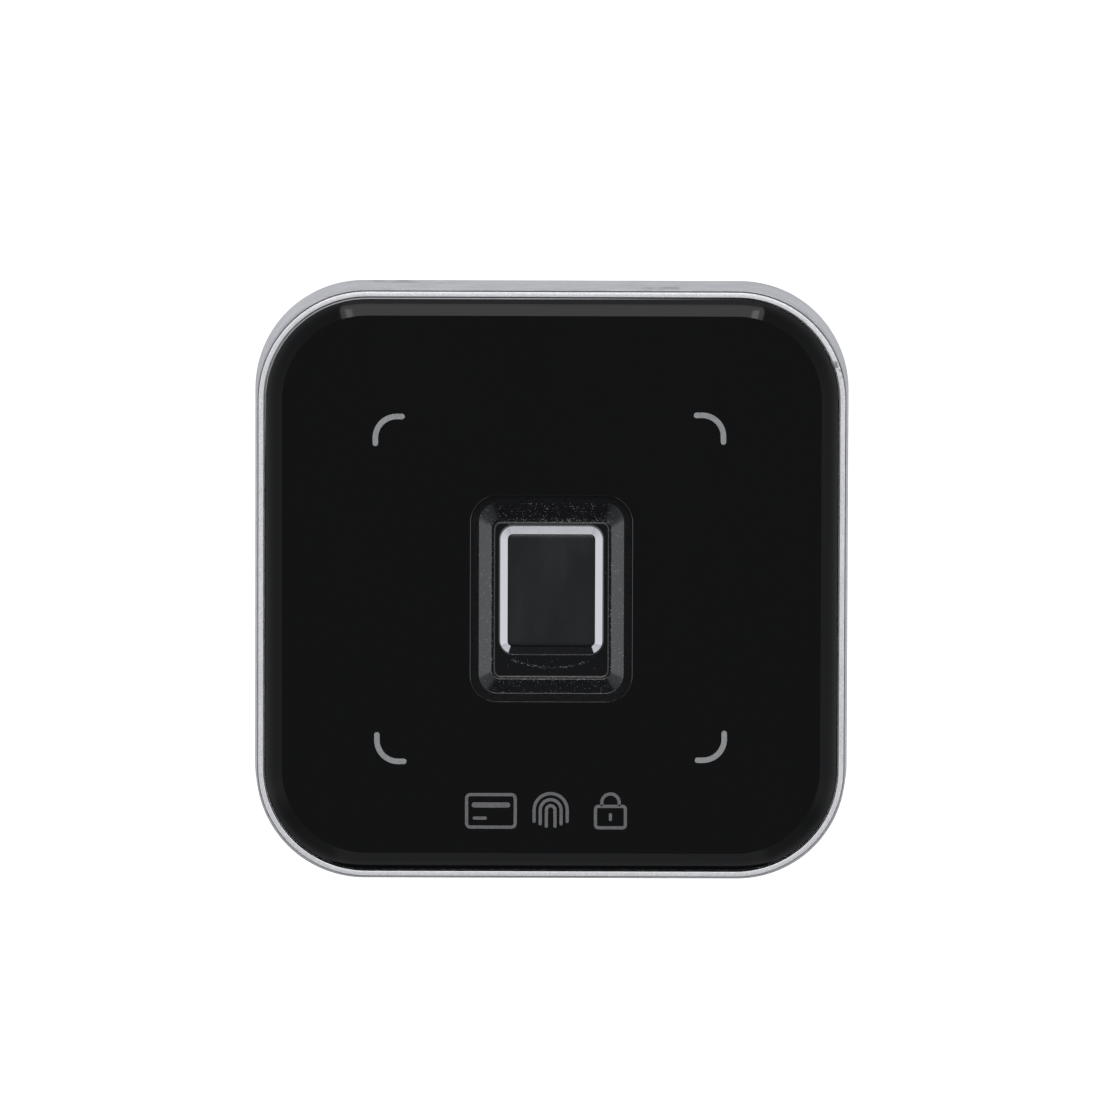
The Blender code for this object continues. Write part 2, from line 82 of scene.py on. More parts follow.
# Finger opening and the surround down to the sensor: half x, half z, radius, centre z
OPENING = (11.6, 14.9, 3.9, -2.0)
POCKET = (8.18, 11.05, 0.9, -2.4)
NECK = (7.55, 9.4, 2.1, -0.95)
BROW = (10.45, 13.75, 2.75, -2.0)
FOOT = (8.6, 11.55, 1.3, -2.3)
POCKET_DEPTH = 1.3
SENSOR_FLANGE, SENSOR_FLANGE_DEPTH, SENSOR_DROP = 1.0, 0.7, 0.51

# Dust in the surround, and the arc that it draws below the sensor: x, z, radius, width
DUST_CELL = 0.19
DUST_ARC = (0.0, 2.1, 14.3, 0.35)

# Printed marks on the panel
MARK_HALF_X, MARK_HALF_Z = 25.37, 25.25
MARK_SHIFT, MARK_CENTRE = -0.2, -0.48
MARK_STROKE, MARK_ARC, MARK_REACH = 0.79, 3.05, 0.8
PRINT_SINK, PRINT_THICKNESS = 0.01, 0.04
PRINT_SKEW = math.radians(0.4)
MARK_ARC_STEPS = 16
GLYPH_CENTRE, GLYPH_PITCH = -32.6, 8.6
GLYPH_LINE, GLYPH_BOLD = 0.46, 0.75


def box_mm(node):
    """A node's box in millimetres as (half x, rear depth, front depth, low z, high z)."""
    low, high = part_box(node)
    return high[0] / MM, -high[1] / MM, -low[1] / MM, low[2] / MM, high[2] / MM


def place(x, depth, z):
    """A point given in millimetres, with its depth from the wall."""
    return Vector((x * MM, -depth * MM, z * MM))


# ---------------------------------------------------------------- shape tools


def outline(shape, steps):
    """A rounded rectangle (half x, half z, radius, centre z) as (x, z) pairs."""
    half_x, half_z, radius, centre = shape
    pairs = []
    for quarter in range(4):
        side_x = 1 if quarter in (0, 3) else -1
        side_z = 1 if quarter in (0, 1) else -1
        for step in range(steps + 1):
            angle = math.radians(90 * (quarter + step / steps))
            x = side_x * (half_x - radius) + radius * math.cos(angle)
            z = side_z * (half_z - radius) + radius * math.sin(angle)
            pairs.append((x, z + centre))
    return pairs


def square(half, radius):
    """A rounded square centred on the frame."""
    return (half, half, radius, 0.0)


def grown(shape, amount):
    """A rounded rectangle grown outwards by an even amount."""
    half_x, half_z, radius, centre = shape
    return (half_x + amount, half_z + amount, max(radius + amount, 0.05), centre)


def between(first, second, part):
    """A station part of the way from one to another: a station is (shape, depth)."""
    shape = tuple(a + (b - a) * part for a, b in zip(first[0], second[0]))
    return shape, first[1] + (second[1] - first[1]) * part


def apart(first, second):
    """Distance between two stations in the plane of half width and depth."""
    return math.hypot(first[0][0] - second[0][0], first[1] - second[1])


def softened(stations, steps=4, ring=False):
    """Round the stations that carry an amount: each is (shape, depth) or (shape, depth, amount)."""
    result = []
    count = len(stations)
    for index, station in enumerate(stations):
        amount = station[2] if len(station) > 2 else 0.0
        inner = 0 < index < count - 1
        if not amount or not (inner or ring):
            result.append(station[:2])
            continue
        here = station[:2]
        before = stations[(index - 1) % count][:2]
        after = stations[(index + 1) % count][:2]
        start = between(here, before, min(0.5, amount / apart(here, before)))
        end = between(here, after, min(0.5, amount / apart(here, after)))
        for step in range(steps + 1):
            part = step / steps
            first = between(start, here, part)
            second = between(here, end, part)
            result.append(between(first, second, part))
    return result


def to_object(name, mesh, look, angle=30.0):
    """A bmesh as a shaded object with its faces pointing out."""
    bmesh.ops.recalc_face_normals(mesh, faces=mesh.faces)
    data = bpy.data.meshes.new(name)
    mesh.to_mesh(data)
    mesh.free()
    made = bpy.data.objects.new(name, data)
    bpy.context.scene.collection.objects.link(made)
    if look is not None:
        data.materials.append(look)
    data.shade_smooth()
    data.set_sharp_from_angle(angle=math.radians(angle))
    return made


def skin(name, loops, look, ring=False, angle=30.0):
    """Join a list of loops of points into a closed surface."""
    mesh = bmesh.new()
    rows = [[mesh.verts.new(point) for point in loop] for loop in loops]
    count = len(rows[0])
    pairs = list(zip(rows, rows[1:]))
    if ring:
        pairs.append((rows[-1], rows[0]))
    for first, second in pairs:
        for index in range(count):
            following = (index + 1) % count
            mesh.faces.new((first[index], first[following], second[following], second[index]))
    if not ring:
        mesh.faces.new(rows[0])
        mesh.faces.new(rows[-1])
    return to_object(name, mesh, look, angle)


def lofted(name, stations, look, ring=False, steps=SMALL_STEPS, angle=30.0):
    """A surface through stations of rounded rectangles, with the marked ones rounded."""
    loops = []
    for shape, depth in softened(stations, ring=ring):
        loops.append([place(x, depth, z) for x, z in outline(shape, steps)])
    return skin(name, loops, look, ring, angle)


# ---------------------------------------------------------------- materials


class Surface:
    """A Principled material with short calls for the nodes that give it its detail."""

    def __init__(self, name, colour, roughness, metallic=0.0, **sockets):
        self.material = bpy.data.materials.new(name)
        self.material.use_nodes = True
        self.tree = self.material.node_tree
        self.shader = self.tree.nodes["Principled BSDF"]
        self.shader.inputs["Base Color"].default_value = (*colour, 1.0)
        self.shader.inputs["Roughness"].default_value = roughness
        self.shader.inputs["Metallic"].default_value = metallic
        for socket, value in sockets.items():
            self.shader.inputs[socket.replace("_", " ")].default_value = value
        self.place = self.tree.nodes.new("ShaderNodeTexCoord").outputs["Object"]
        self.height = None

    def link(self, output, socket):
        """Feed an output to an input socket."""
        self.tree.links.new(output, socket)

    def noise(self, size, detail=2.0, stretch=None):
        """Noise whose features are about a size in millimetres, from 0 to 1."""
        node = self.tree.nodes.new("ShaderNodeTexNoise")
        node.inputs["Scale"].default_value = 1.0 / (size * MM)
        node.inputs["Detail"].default_value = detail
        vector = self.place
        if stretch:
            mapping = self.tree.nodes.new("ShaderNodeMapping")
            mapping.inputs["Scale"].default_value = stretch
            self.link(vector, mapping.inputs["Vector"])
            vector = mapping.outputs["Vector"]
        self.link(vector, node.inputs["Vector"])
        return node.outputs["Fac"]

    def cells(self, size, feature="F1", output="Distance"):
        """Cells about a size in millimetres across."""
        node = self.tree.nodes.new("ShaderNodeTexVoronoi")
        node.feature = feature
        node.inputs["Scale"].default_value = 1.0 / (size * MM)
        self.link(self.place, node.inputs["Vector"])
        return node.outputs[output]

    def ranged(self, value, low, high, new_low=0.0, new_high=1.0, smooth=False):
        """Map a value from one range to another, held at the ends."""
        node = self.tree.nodes.new("ShaderNodeMapRange")
        if smooth:
            node.interpolation_type = "SMOOTHSTEP"
        names = ("From Min", "From Max", "To Min", "To Max")
        for socket, number in zip(names, (low, high, new_low, new_high)):
            node.inputs[socket].default_value = number
        self.link(value, node.inputs["Value"])
        return node.outputs["Result"]

    def maths(self, operation, first, second=0.0):
        """Combine a value with a value or a number."""
        node = self.tree.nodes.new("ShaderNodeMath")
        node.operation = operation
        for socket, value in zip(node.inputs, (first, second)):
            if isinstance(value, (int, float)):
                socket.default_value = value
            else:
                self.link(value, socket)
        return node.outputs["Value"]

    def axis(self, letter):
        """One coordinate of the surface point, in metres."""
        node = self.tree.nodes.new("ShaderNodeSeparateXYZ")
        self.link(self.place, node.inputs["Vector"])
        return node.outputs[letter]

    def inside(self, across, depths, heights, soft=0.4):
        """One inside a box given in millimetres, fading out just beyond its sides."""
        result = None
        ranges = (("X", across), ("Y", (-depths[1], -depths[0])), ("Z", heights))
        for letter, (low, high) in ranges:
            value = self.axis(letter)
            for edge, outer in ((low, low - soft), (high, high + soft)):
                part = self.ranged(value, outer * MM, edge * MM)
                result = part if result is None else self.maths("MULTIPLY", result, part)
        return result

    def from_outline(self, shape):
        """Distance in metres outwards from a rounded rectangle seen from the front."""
        half_x, half_z, radius, centre = (value * MM for value in shape)
        reach = []
        for letter, middle, half in (("X", 0.0, half_x), ("Z", centre, half_z)):
            offset = self.maths("ABSOLUTE", self.maths("SUBTRACT", self.axis(letter), middle), 0.0)
            reach.append(self.maths("SUBTRACT", offset, half - radius))
        outside = [self.maths("POWER", self.maths("MAXIMUM", value, 0.0), 2.0) for value in reach]
        outside = self.maths("SQRT", self.maths("ADD", *outside), 0.0)
        within = self.maths("MINIMUM", self.maths("MAXIMUM", *reach), 0.0)
        return self.maths("SUBTRACT", self.maths("ADD", outside, within), radius)

    def from_arc(self, x, z, radius, width):
        """One on a circle seen from the front, fading to nothing a width away, in millimetres."""
        sides = []
        for letter, middle in (("X", x), ("Z", z)):
            offset = self.maths("SUBTRACT", self.axis(letter), middle * MM)
            sides.append(self.maths("MULTIPLY", offset, offset))
        reach = self.maths("SQRT", self.maths("ADD", *sides), 0.0)
        offset = self.maths("ABSOLUTE", self.maths("SUBTRACT", reach, radius * MM), 0.0)
        return self.ranged(offset, 0.0, width * MM, 1.0, 0.0)

    def blended(self, amount, first, second):
        """Mix two colours; each is a colour or an output."""
        node = self.tree.nodes.new("ShaderNodeMix")
        node.data_type = "RGBA"
        self.link(amount, node.inputs["Factor"])
        for socket, value in ((node.inputs[6], first), (node.inputs[7], second)):
            if isinstance(value, tuple):
                socket.default_value = (*value, 1.0)
            else:
                self.link(value, socket)
        return node.outputs[2]

    def colour(self, output):
        """Drive the base colour."""
        self.link(output, self.shader.inputs["Base Color"])

    def rough(self, output):
        """Drive the roughness."""
        self.link(output, self.shader.inputs["Roughness"])

    def bump(self, output, distance, strength=1.0):
        """Raise the surface by a height pattern, with its depth in millimetres."""
        node = self.tree.nodes.new("ShaderNodeBump")
        node.inputs["Distance"].default_value = distance * MM
        node.inputs["Strength"].default_value = strength
        self.link(output, node.inputs["Height"])
        if self.height is not None:
            self.link(self.height, node.inputs["Normal"])
        self.height = node.outputs["Normal"]
        self.link(self.height, self.shader.inputs["Normal"])


def silver_paint():
    """Fine metallic silver paint on moulded plastic, with scuffs, and painted shade darkening its
    rear edge.
    """
    look = Surface("silver_paint", (0.44, 0.44, 0.46), 0.4, 0.45)
    flake = look.cells(0.12, output="Color")
    base = look.blended(look.ranged(flake, 0.0, 1.0), (0.41, 0.41, 0.425), (0.54, 0.54, 0.555))
    cloud = look.noise(5.0, 4.0)
    base = look.blended(look.ranged(cloud, 0.35, 0.65, 0.0, 0.35), base, (0.34, 0.345, 0.37))
    left = look.inside((-25.5, -20.5), (2.0, 4.5), (42.0, 44.0), 3.0)
    right = look.inside((14.0, 18.0), (11.0, 13.5), (42.0, 44.0), 2.5)
    reach = look.ranged(look.maths("MAXIMUM", left, right), 0.0, 1.0, -0.3, 0.16)
    scratches = look.maths("ADD", look.noise(0.7, 6.0, (0.3, 0.8, 1.0)), reach)
    scuffs = look.ranged(scratches, 0.5, 0.68, 0.0, 0.85, smooth=True)
    stray = look.ranged(look.noise(1.7, 3.0), 0.7, 0.74, 0.0, 0.35)
    base = look.blended(look.maths("MAXIMUM", scuffs, stray), base, (0.16, 0.16, 0.165))
    # painted shade: the last millimetre of the wall, next to the wall plane, turns dark grey
    rear_edge_shade = look.ranged(look.axis("Y"), -1.7 * MM, -0.8 * MM, 0.0, 0.85)
    look.colour(look.blended(rear_edge_shade, base, (0.12, 0.12, 0.13)))
    look.rough(look.ranged(cloud, 0.3, 0.7, 0.34, 0.46))
    look.bump(look.noise(0.16, 2.0), 0.004)
    return look.material


def bright_trim():
    """Brighter satin silver on the trim ring, with a sparkling grain and a nick."""
    look = Surface("bright_trim", (0.86, 0.86, 0.88), 0.38, 0.3)
    flake = look.cells(0.16, output="Color")
    base = look.blended(look.ranged(flake, 0.0, 1.0), (0.72, 0.72, 0.74), (0.97, 0.97, 0.99))
    nick = look.inside((40.6, 42.2), (14.0, 16.0), (30.2, 32.2))
    worn = look.ranged(look.noise(0.7, 6.0), 0.5, 0.56, 0.0, 1.0, smooth=True)
    stray = look.ranged(look.noise(1.3, 5.0), 0.7, 0.74, 0.0, 0.4)
    worn = look.maths("MAXIMUM", look.maths("MULTIPLY", nick, worn), stray)
    look.colour(look.blended(worn, base, (0.3, 0.3, 0.31)))
    look.rough(look.ranged(look.noise(4.0, 3.0), 0.3, 0.7, 0.3, 0.42))
    look.bump(look.noise(0.14, 2.0), 0.006)
    return look.material


def black_glass():
    """Polished black panel with faint smears and a little settled dust."""
    look = Surface("black_glass", (0.0035, 0.0036, 0.004), 0.05, IOR=1.5)
    smear = look.noise(14.0, 4.0, (1.0, 1.0, 0.35))
    look.rough(look.ranged(smear, 0.35, 0.7, 0.03, 0.08))
    speck = look.ranged(look.cells(0.9), 0.02, 0.035, 1.0, 0.0)
    sparse = look.ranged(look.noise(3.0, 3.0), 0.6, 0.66)
    dust = look.maths("MULTIPLY", speck, sparse)
    look.colour(look.blended(dust, (0.003, 0.0031, 0.0034), (0.07, 0.07, 0.07)))
    look.bump(look.noise(7.0, 1.0), 0.002)
    return look.material


def ground_glass():
    """Fine-ground edge of the panel, with a painted highlight that lightens it towards the upper
    left.
    """
    look = Surface("ground_glass", (0.03, 0.03, 0.032), 0.22, IOR=1.5)
    grit = look.noise(0.25, 5.0)
    # painted highlight: the edge colour turns light grey towards the upper left and fades along the
    # top and down the left side
    leaning = look.maths("SUBTRACT", look.axis("Z"), look.maths("MULTIPLY", look.axis("X"), 0.35))
    painted_glint = look.ranged(leaning, 30.0 * MM, 46.0 * MM, 0.0, 0.95, smooth=True)
    dull = look.blended(look.ranged(grit, 0.35, 0.65), (0.02, 0.02, 0.022), (0.05, 0.05, 0.054))
    look.colour(look.blended(painted_glint, dull, (0.85, 0.85, 0.87)))
    look.rough(look.ranged(grit, 0.3, 0.7, 0.15, 0.35))
    look.bump(grit, 0.01)
    return look.material


def guide_moulding():
    """Black spark-textured moulding with dust caught along its creases, and painted highlights
    along the pocket's edge and the bottom of the sensor neck.
    """
    look = Surface("guide_moulding", (0.007, 0.0075, 0.0085), 0.2)
    grain = look.noise(0.2, 4.0)
    black, worn = (0.003, 0.0033, 0.004), (0.0065, 0.0069, 0.0078)
    tone = look.blended(look.ranged(grain, 0.35, 0.65), black, worn)
    edge = look.from_outline(POCKET)
    top_only = look.ranged(look.axis("Z"), 7.5 * MM, 8.6 * MM)
    beside = look.maths("ABSOLUTE", look.maths("SUBTRACT", edge, 0.45 * MM))
    band = look.ranged(beside, 0.1 * MM, 0.6 * MM, 1.0, 0.0)
    caught = look.maths("MULTIPLY", band, look.maths("MAXIMUM", top_only, 0.5))
    circle = look.from_arc(*DUST_ARC)
    below = look.inside((-5.6, 5.4), (12.0, 13.8), (-13.0, -9.0))
    arc = look.maths("MULTIPLY", circle, below)
    caught = look.maths("MAXIMUM", caught, arc)
    clean = look.inside((-7.4, 7.4), (12.0, 13.8), (-13.2, 8.0), 0.1)
    caught = look.maths("MAXIMUM", caught, look.ranged(clean, 0.0, 1.0, 0.25, 0.24))
    speck = look.ranged(look.cells(DUST_CELL), 0.14, 0.42, 1.0, 0.0, smooth=True)
    patch = look.maths("MAXIMUM", look.ranged(look.noise(0.7, 4.0), 0.42, 0.56), arc)
    chance = look.cells(DUST_CELL, output="Color")
    kept = look.ranged(look.maths("SUBTRACT", caught, chance), -0.12, 0.0)
    dust = look.maths("MULTIPLY", look.maths("MULTIPLY", speck, kept), patch)
    # painted highlight: a light line along the pocket's edge, stronger towards the top
    highlight_top_weight = look.ranged(look.axis("Z"), 7.5 * MM, 8.4 * MM, 0.55, 1.0)
    pocket_edge_highlight = look.ranged(look.maths("ABSOLUTE", edge), 0.05 * MM, 0.11 * MM, 1.0, 0.0)
    tone = look.blended(look.maths("MULTIPLY", pocket_edge_highlight, highlight_top_weight), tone, (0.15, 0.15, 0.155))
    # painted highlight: a light line along the neck's edge, only at its bottom, below the sensor
    to_neck = look.maths("ABSOLUTE", look.from_outline(NECK))
    neck_edge_highlight = look.ranged(to_neck, 0.03 * MM, 0.09 * MM, 1.0, 0.0)
    lowest = look.ranged(look.axis("Z"), -9.6 * MM, -10.0 * MM, 0.1, 0.5)
    neck_edge_highlight = look.maths("MULTIPLY", neck_edge_highlight, lowest)
    tone = look.blended(neck_edge_highlight, tone, (0.12, 0.12, 0.125))
    faint = look.ranged(look.noise(0.5, 2.0), 0.3, 0.7)
    powder = look.blended(faint, (0.08, 0.08, 0.085), (0.5, 0.5, 0.51))
    look.colour(look.blended(dust, tone, powder))
    look.rough(look.ranged(grain, 0.3, 0.7, 0.12, 0.2))
    look.bump(grain, 0.005)
    return look.material


def chrome():
    """Bright plating with the faintest haze."""
    look = Surface("chrome_plating", (0.86, 0.87, 0.9), 0.06, 1.0)
    look.rough(look.ranged(look.noise(1.6, 4.0), 0.35, 0.7, 0.02, 0.06))
    look.bump(look.noise(2.4, 1.0), 0.001)
    return look.material


def sensor_coating():
    """Satin charcoal coating over the sensor."""
    look = Surface("sensor_coating", (0.0095, 0.0102, 0.0125), 0.25)
    grain = look.noise(0.11, 3.0)
    dark, light = (0.0085, 0.0092, 0.0117), (0.0105, 0.0112, 0.0137)
    look.colour(look.blended(look.ranged(grain, 0.3, 0.7), dark, light))
    wiped = look.noise(4.0, 4.0, (1.0, 1.0, 0.4))
    look.rough(look.ranged(wiped, 0.3, 0.7, 0.22, 0.29))
    look.bump(grain, 0.003)
    return look.material


def print_ink():
    """Light grey screen-printed ink, thin in places."""
    look = Surface("print_ink", (0.3, 0.305, 0.31), 0.5)
    thin = look.ranged(look.noise(0.35, 4.0), 0.3, 0.7)
    look.colour(look.blended(thin, (0.26, 0.265, 0.27), (0.33, 0.335, 0.34)))
    look.bump(look.noise(0.2, 3.0), 0.004)
    return look.material


def dim_ink():
    """The same ink, printed weaker."""
    look = Surface("dim_ink", (0.14, 0.14, 0.145), 0.5)
    thin = look.ranged(look.noise(0.3, 4.0), 0.3, 0.7)
    look.colour(look.blended(thin, (0.11, 0.11, 0.115), (0.16, 0.16, 0.165)))
    look.bump(look.noise(0.2, 3.0), 0.003)
    return look.material


def zinc_steel():
    """Zinc-plated sheet and screws, with a soft rolling grain."""
    look = Surface("zinc_steel", (0.56, 0.57, 0.58), 0.34, 1.0)
    spangle = look.cells(2.4, output="Color")
    grain = look.noise(0.5, 4.0, (1.0, 1.0, 0.12))
    look.colour(look.blended(look.ranged(spangle, 0.0, 1.0), (0.5, 0.51, 0.52), (0.62, 0.63, 0.63)))
    look.rough(look.ranged(grain, 0.3, 0.7, 0.26, 0.44))
    look.bump(grain, 0.003)
    return look.material


def moulded(name, colour, roughness, size=0.3):
    """Plain moulded plastic or rubber with a fine skin."""
    look = Surface(name, colour, roughness)
    skin_noise = look.noise(size, 3.0)
    dark = tuple(0.85 * c for c in colour)
    light = tuple(min(1.0, 1.12 * c) for c in colour)
    look.colour(look.blended(look.ranged(skin_noise, 0.3, 0.7), dark, light))
    look.rough(look.ranged(skin_noise, 0.3, 0.7, roughness - 0.05, roughness + 0.06))
    look.bump(skin_noise, 0.006)
    return look.material


def circuit_board():
    """Green solder mask over copper tracks."""
    look = Surface("circuit_board", (0.01, 0.08, 0.035), 0.3)
    tracks = look.cells(3.2, feature="DISTANCE_TO_EDGE")
    copper = look.ranged(tracks, 0.05, 0.07, 1.0, 0.0)
    look.colour(look.blended(copper, (0.008, 0.065, 0.03), (0.02, 0.14, 0.06)))
    look.rough(look.ranged(look.noise(0.6, 3.0), 0.3, 0.7, 0.24, 0.36))
    look.bump(copper, 0.02)
    return look.material


def make_looks():
    """Every material by its name."""
    return {
        "silver_paint": silver_paint(),
        "bright_trim": bright_trim(),
        "black_glass": black_glass(),
        "ground_glass": ground_glass(),
        "black_moulding": guide_moulding(),
        "chrome": chrome(),
        "sensor_coating": sensor_coating(),
        "print": print_ink(),
        "dim_print": dim_ink(),
        "zinc_steel": zinc_steel(),
        "circuit_board": circuit_board(),
        "foam_tape": moulded("foam_tape", (0.02, 0.02, 0.02), 0.85, 0.2),
        "seal_rubber": moulded("seal_rubber", (0.03, 0.03, 0.03), 0.7),
        "flex_film": moulded("flex_film", (0.42, 0.19, 0.03), 0.28),
        "component_black": moulded("component_black", (0.02, 0.02, 0.021), 0.5),
        "socket_plastic": moulded("socket_plastic", (0.6, 0.56, 0.46), 0.5),
        "terminal_plastic": moulded("terminal_plastic", (0.02, 0.2, 0.08), 0.42),
        "clear_plastic": moulded("clear_plastic", (0.7, 0.71, 0.72), 0.25),
        "plunger_plastic": moulded("plunger_plastic", (0.7, 0.7, 0.68), 0.4),
        "label_film": moulded("label_film", (0.72, 0.72, 0.71), 0.45),
    }


# ---------------------------------------------------------------- pieces


def make_housing(look):
    """Silver tub with a tapered side wall, a softened lip and a skirt round the wall plate.

    It is a plain shell: the solid it replaces also has the lock boss and the bores.
    """
    half, rim, lip, _, _ = box_mm("rear_housing")
    shelf = rim + SHELF
    inside = half - HOUSING_WALL
    stations = [
        (square(inside, HOUSING_INNER_RADIUS), rim + BACK_FRONT),
        (square(inside, HOUSING_INNER_RADIUS), shelf, 0.1),
        (square(half - 0.87, RING_RADIUS + 0.03), shelf),
        (square(half - 0.87, RING_RADIUS + 0.03), lip - 0.4),
        (square(half - 0.78, RING_RADIUS + 0.1), lip - 0.06, 0.05),
        (square(half - 0.74, RING_RADIUS + 0.12), lip, 0.03),
        (square(half - LIP_INSET - 0.01, LIP_RADIUS), lip, 0.1),
        (square(half - LIP_INSET, LIP_RADIUS), lip - 0.25),
        (square(half, REAR_RADIUS), rim + 0.25),
        (square(half - 0.06, REAR_RADIUS - 0.06), rim + 0.07),
        (square(half - 0.25, REAR_RADIUS - 0.25), rim),
        (square(half - 1.7, REAR_RADIUS - 1.7), rim, 0.15),
        (square(half - 1.8, REAR_RADIUS - 1.8), rim + BACK_REAR),
    ]
    return lofted("housing_shell", stations, look, steps=BIG_STEPS)


def make_trim(look, gap_shade_look):
    """Trim ring with fine broken edges on its front band, and the ledge behind it. The ring's inner
    wall below the front band gets a black material as painted shade in the gap to the panel.
    """
    half, _, front, _, _ = box_mm("front_bezel")
    ledge = front - 1.6

    def at(inset, depth, amount=0.0):
        return square(half - inset, RING_RADIUS - inset), depth, amount

    stations = [
        at(0.0, front, 0.09),
        at(0.0, front - 2.2, 0.05),
        at(1.5, front - 2.2),
        at(1.5, front - 3.2),
        at(5.1, front - 3.2),
        at(5.1, ledge),
        at(RING_BAND, ledge),
        at(RING_BAND, front, 0.07),
    ]
    ring = lofted("trim_ring", stations, look, ring=True, steps=BIG_STEPS)
    # painted shade: inward faces deeper than the front band take the black material, so the gap to
    # the panel reads dark
    ring.data.materials.append(gap_shade_look)
    for face in ring.data.polygons:
        inward = face.normal.x * face.center.x + face.normal.z * face.center.z < 0.0
        if inward and -face.center.y / MM < front - 0.1:
            face.material_index = 1
    return ring


def panel_front():
    """Depth of the panel's front face, which leaves room for the print inside the model's box."""
    return box_mm("glass_panel")[2] - PRINT_THICKNESS


def make_glass(look, ground_look):
    """Cover panel: flat field, wide polished bevel that rolls over, ground edge, finger opening."""
    half, rear, _, _, _ = box_mm("glass_panel")
    half -= PANEL_CLEARANCE
    front = panel_front()
    roll = BEVEL_WIDTH - BEVEL_FLAT - GROUND_EDGE
    inset, depth = BEVEL_WIDTH, front
    stations = [(inset, depth)]
    inset -= BEVEL_FLAT
    depth -= BEVEL_FLAT * math.tan(BEVEL_SLOPE)
    stations.append((inset, depth))
    roll_steps = 10
    for step in range(roll_steps):
        slope = BEVEL_SLOPE + (ROLL_SLOPE - BEVEL_SLOPE) * ((step + 0.5) / roll_steps) ** 2
        inset -= roll / roll_steps
        depth -= roll / roll_steps * math.tan(slope)
        stations.append((inset, depth))
    ground_from = len(stations) - 1
    stations.append((0.0, depth - GROUND_EDGE * math.tan(GROUND_SLOPE)))
    ground_to = len(stations) - 1
    rows = [(square(half - inset, GLASS_RADIUS - inset), depth) for inset, depth in stations]
    rows += [
        (square(half, GLASS_RADIUS), rear),
        (OPENING, rear),
        (OPENING, front - 0.1),
        (grown(OPENING, 0.02), front - 0.04),
        (grown(OPENING, 0.08), front),
    ]
    panel = lofted("cover_glass", rows, look, ring=True, steps=BIG_STEPS, angle=12.0)
    panel.data.materials.append(ground_look)
    across = 4 * (BIG_STEPS + 1)
    for face in panel.data.polygons[ground_from * across:ground_to * across]:
        face.material_index = 1
    return panel


def make_guide(look):
    """Moulded surround: flat rim, slope with a softened brow, and the sensor pocket."""
    _, rear, rim, _, _ = box_mm("finger_guide")
    floor = rim - POCKET_DEPTH
    centre = OPENING[3]
    body = (12.3, 15.6, 4.4, centre)
    flange = (14.0, 17.3, 6.0, centre)
    stations = [
        (body, rear),
        (body, floor + 0.4),
        (flange, floor + 0.4),
        (flange, rim),
        (BROW, rim, 0.05),
        (FOOT, floor + 0.02, 0.05),
        (grown(POCKET, 0.16), floor, 0.04),
        (grown(POCKET, 0.12), floor + 0.05, 0.04),
        (POCKET, floor + 0.02, 0.05),
        (POCKET, floor - 0.4),
        (NECK, floor - 0.4),
        (NECK, rear),
    ]
    return lofted("finger_surround", stations, look, ring=True, steps=SMALL_STEPS, angle=22.0)


def make_sensor_trim(look):
    """Chrome ring whose bevel falls outwards to a hidden flange."""
    half, rear, front, low, high = box_mm("sensor_ring")
    centre = (low + high) / 2
    flange = (half, (high - low) / 2, 2.9, centre)
    outer = grown(flange, -SENSOR_FLANGE)
    inner = (6.3, 8.1, 0.75, centre)
    stations = [
        (flange, rear),
        (flange, rear + SENSOR_FLANGE_DEPTH),
        (outer, rear + SENSOR_FLANGE_DEPTH),
        (outer, front - SENSOR_DROP),
        (inner, front),
        (inner, rear),
    ]
    return lofted("sensor_trim", stations, look, ring=True, steps=SMALL_STEPS, angle=50.0)


def make_sensor_face(look):
    """Coated sensor face with a softened edge."""
    half, rear, front, low, high = box_mm("sensor_window")
    shape = (half, (high - low) / 2, 0.65, (low + high) / 2)
    stations = [(shape, rear), (shape, front, 0.08), (grown(shape, -0.6), front)]
    return lofted("sensor_face", stations, look, steps=8)


def stroke(mesh, points, width, rear, front):
    """A printed line along points, as a thin closed ribbon with round ends."""
    cap_steps = 8
    left, right = [], []
    count = len(points)
    for index, (x, z) in enumerate(points):
        before = points[max(index - 1, 0)]
        after = points[min(index + 1, count - 1)]
        run = math.atan2(after[1] - before[1], after[0] - before[0])
        side_x = -math.sin(run) * width / 2
        side_z = math.cos(run) * width / 2
        left.append((x + side_x, z + side_z))
        right.append((x - side_x, z - side_z))

    def cap(end, other):
        facing = math.atan2(end[1] - other[1], end[0] - other[0])
        for step in range(1, cap_steps):
            angle = facing + math.pi / 2 - math.pi * step / cap_steps
            yield end[0] + width / 2 * math.cos(angle), end[1] + width / 2 * math.sin(angle)

    around = left + list(cap(points[-1], points[-2])) + right[::-1]
    around += list(cap(points[0], points[1]))
    plate(mesh, around, rear, front)


def plate(mesh, around, rear, front):
    """A thin closed plate with the given outline."""
    low = [mesh.verts.new(place(x, rear, z)) for x, z in around]
    high = [mesh.verts.new(place(x, front, z)) for x, z in around]
    count = len(around)
    for index in range(count):
        following = (index + 1) % count
        mesh.faces.new((low[index], low[following], high[following], high[index]))
    mesh.faces.new(low)
    mesh.faces.new(high)


def skewed(points, centre):
    """Turn printed points slightly about the print's centre."""
    turned_points = []
    for x, z in points:
        dz = z - centre
        turned_points.append((x * math.cos(PRINT_SKEW) - dz * math.sin(PRINT_SKEW),
                              centre + x * math.sin(PRINT_SKEW) + dz * math.cos(PRINT_SKEW)))
    return turned_points


